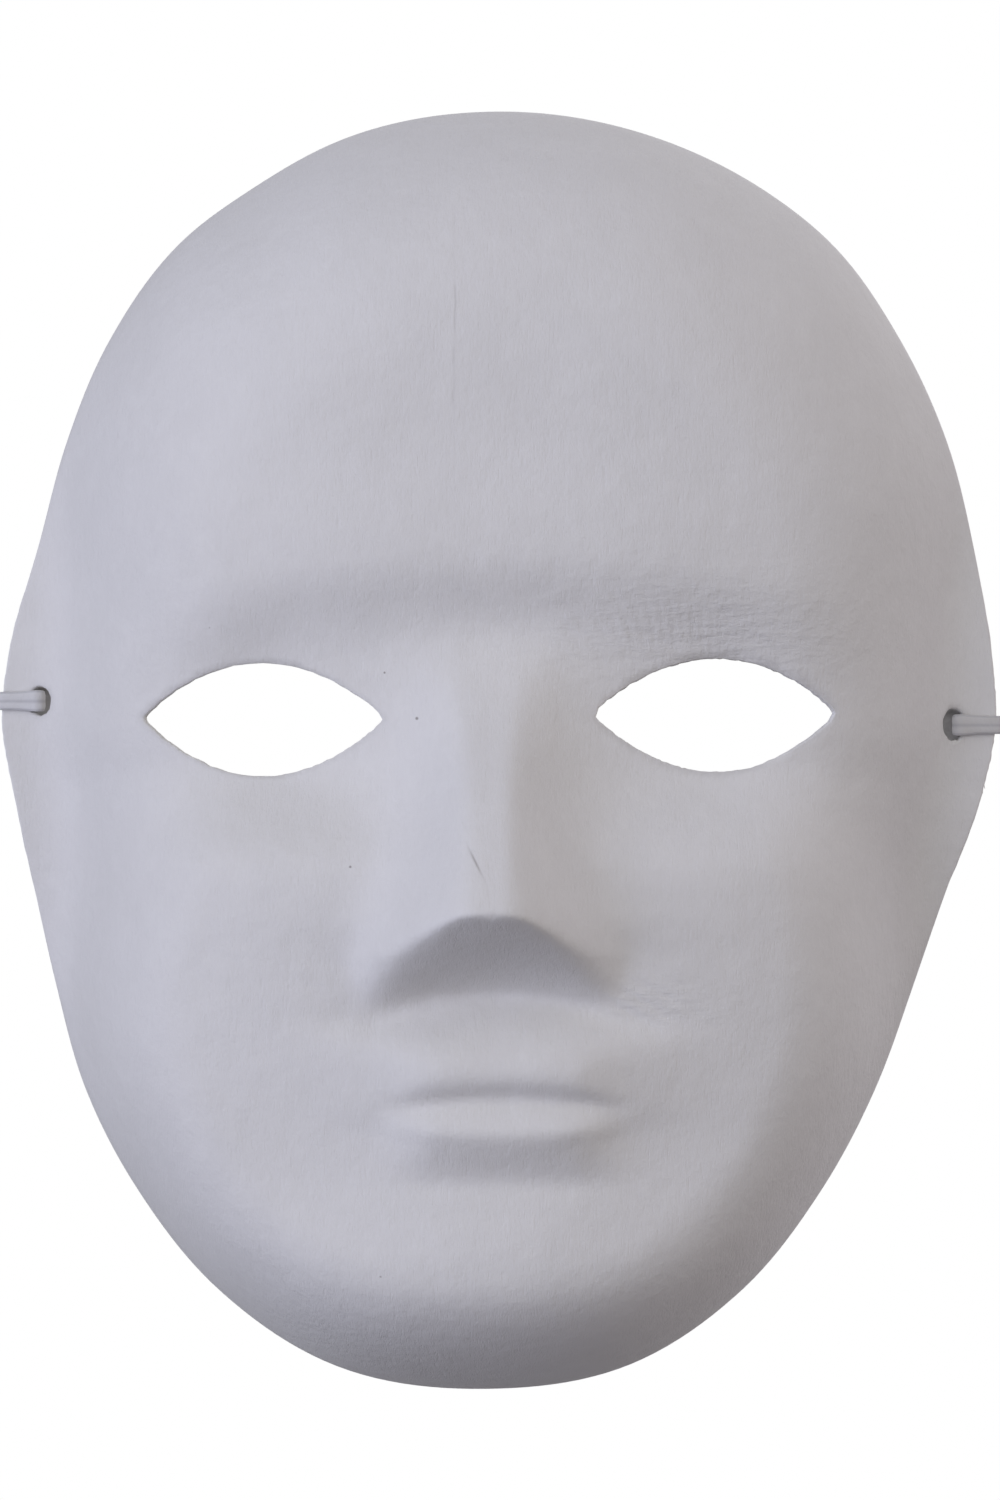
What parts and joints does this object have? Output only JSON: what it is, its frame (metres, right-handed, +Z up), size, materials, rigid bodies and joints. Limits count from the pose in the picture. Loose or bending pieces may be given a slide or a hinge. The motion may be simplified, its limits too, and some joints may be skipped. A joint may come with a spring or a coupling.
{
  "type": "full face mask",
  "caption": "Blank full-face craft mask of moulded white pulp with almond eye openings, closed lips and a flat head elastic tied through the temples.",
  "frame": {"origin": "on the mask's middle line at the height of the eyes, in the plane of the rim, where the wearer's face meets it", "axes": "+Z up, the face looks along -Y, +Y points out of the back towards the wearer, +X to the right as seen from the front"},
  "size_m": [0.1889, 0.0835, 0.24],
  "materials": {
    "white_pulp": "matt uncoated moulded pulp",
    "white_elastic": "flat braided elastic, matt"
  },
  "bodies": {
    "mask": {"mask_shell": "white_pulp", "loop_left": "white_elastic", "loop_right": "white_elastic", "knot_left": "white_elastic", "knot_right": "white_elastic"},
    "strap": {"head_elastic": "white_elastic"}
  },
  "joints": [
    {"name": "strap_swing", "type": "hinge", "parent": "mask", "child": "strap", "pos_m": [-0.00045, 0.0019, -0.00005], "axis": [0.9997, 0, -0.0253], "range_deg": [-10, 180]}
  ]
}
